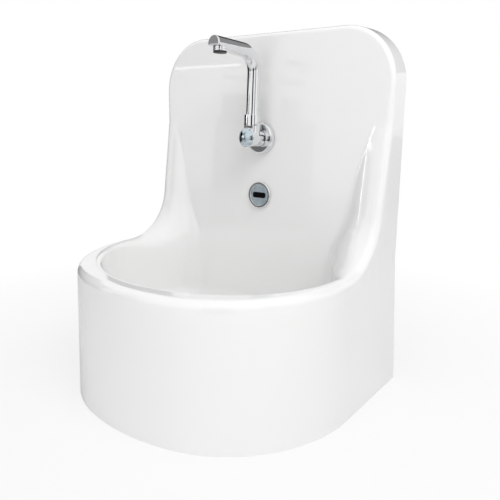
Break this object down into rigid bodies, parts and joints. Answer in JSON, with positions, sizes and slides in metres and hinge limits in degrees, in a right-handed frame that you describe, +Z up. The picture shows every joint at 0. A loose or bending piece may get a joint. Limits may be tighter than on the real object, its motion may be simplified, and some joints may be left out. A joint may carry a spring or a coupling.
{
  "type": "wall-hung medical sink",
  "caption": "Wall-hung medical sink: one moulded shell with a deep rounded bowl and a tall winged splashback, a swivelling chrome spout with a front knob and a round hands-free sensor.",
  "frame": {"origin": "middle of the four wall bolts, on the wall's face", "axes": "+X to the viewer's right, +Y into the wall, +Z up"},
  "size_m": [0.6, 0.4859, 0.708],
  "materials": {
    "shell": "glossy gelcoat",
    "steel": "brushed",
    "chrome": "polished",
    "brass": "turned",
    "copper": "drawn copper",
    "rubber": "matte",
    "white_plastic": "moulded",
    "grey_plastic": "moulded",
    "black_plastic": "moulded",
    "sensor_window": "polished",
    "sensor_face": "satin, slightly blue",
    "green_board": "lacquered"
  },
  "bodies": {
    "sink": {"battery_pack": "black_plastic", "box_screws": "steel", "bracket_screws": "steel", "cold_elbow": "brass", "collar_screw": "steel", "control_board": "green_board", "control_box": "grey_plastic", "control_lid": "grey_plastic", "dip_tube": "white_plastic", "drain_body": "steel", "drain_nut": "white_plastic", "drain_seal": "rubber", "drain_strainer": "steel", "feed_nuts": "brass", "flange_gasket": "rubber", "hot_elbow": "brass", "lid_screws": "steel", "lower_rail": "steel", "mixing_valve": "brass", "outlet_nipple": "brass", "sensor_barrel": "black_plastic", "sensor_bezel": "chrome", "sensor_face": "sensor_face", "sensor_gasket": "rubber", "sensor_nut": "black_plastic", "sensor_window": "sensor_window", "shank_elbow": "brass", "shank_nut": "brass", "shank_washer": "brass", "sink_shell": "shell", "slip_nut": "white_plastic", "slip_seal": "rubber", "solenoid_coil": "black_plastic", "solenoid_valve": "brass", "spout_body": "chrome", "spout_feed": "copper", "spout_flange": "chrome", "swivel_bush": "white_plastic", "swivel_collar": "chrome", "trap_body": "white_plastic", "trap_seal": "rubber", "union_nuts": "brass", "upper_rail": "steel", "valve_bracket": "steel", "valve_cartridge": "grey_plastic", "waste_pipe": "white_plastic"},
    "spout": {"spout_tube": "chrome", "spout_seals": "rubber", "aerator_housing": "chrome", "aerator_insert": "black_plastic", "aerator_washer": "rubber"},
    "front_knob": {"front_knob": "chrome", "knob_spindle": "brass"},
    "temperature_dial": {"temperature_dial": "black_plastic"}
  },
  "joints": [
    {"name": "spout_swivel", "type": "hinge", "parent": "sink", "child": "spout", "pos_m": [0, -0.09932, 0.09144], "axis": [0, 0.0649, 0.9979], "range_deg": [-60, 60]},
    {"name": "front_knob_turn", "type": "hinge", "parent": "sink", "child": "front_knob", "pos_m": [0, -0.11549, 0.05241], "axis": [0, -0.9979, 0.0649], "range_deg": [0, 90]},
    {"name": "temperature_dial_turn", "type": "hinge", "parent": "sink", "child": "temperature_dial", "pos_m": [0.075, -0.036, -0.285], "axis": [0, 0, 1], "range_deg": [-90, 90]}
  ]
}
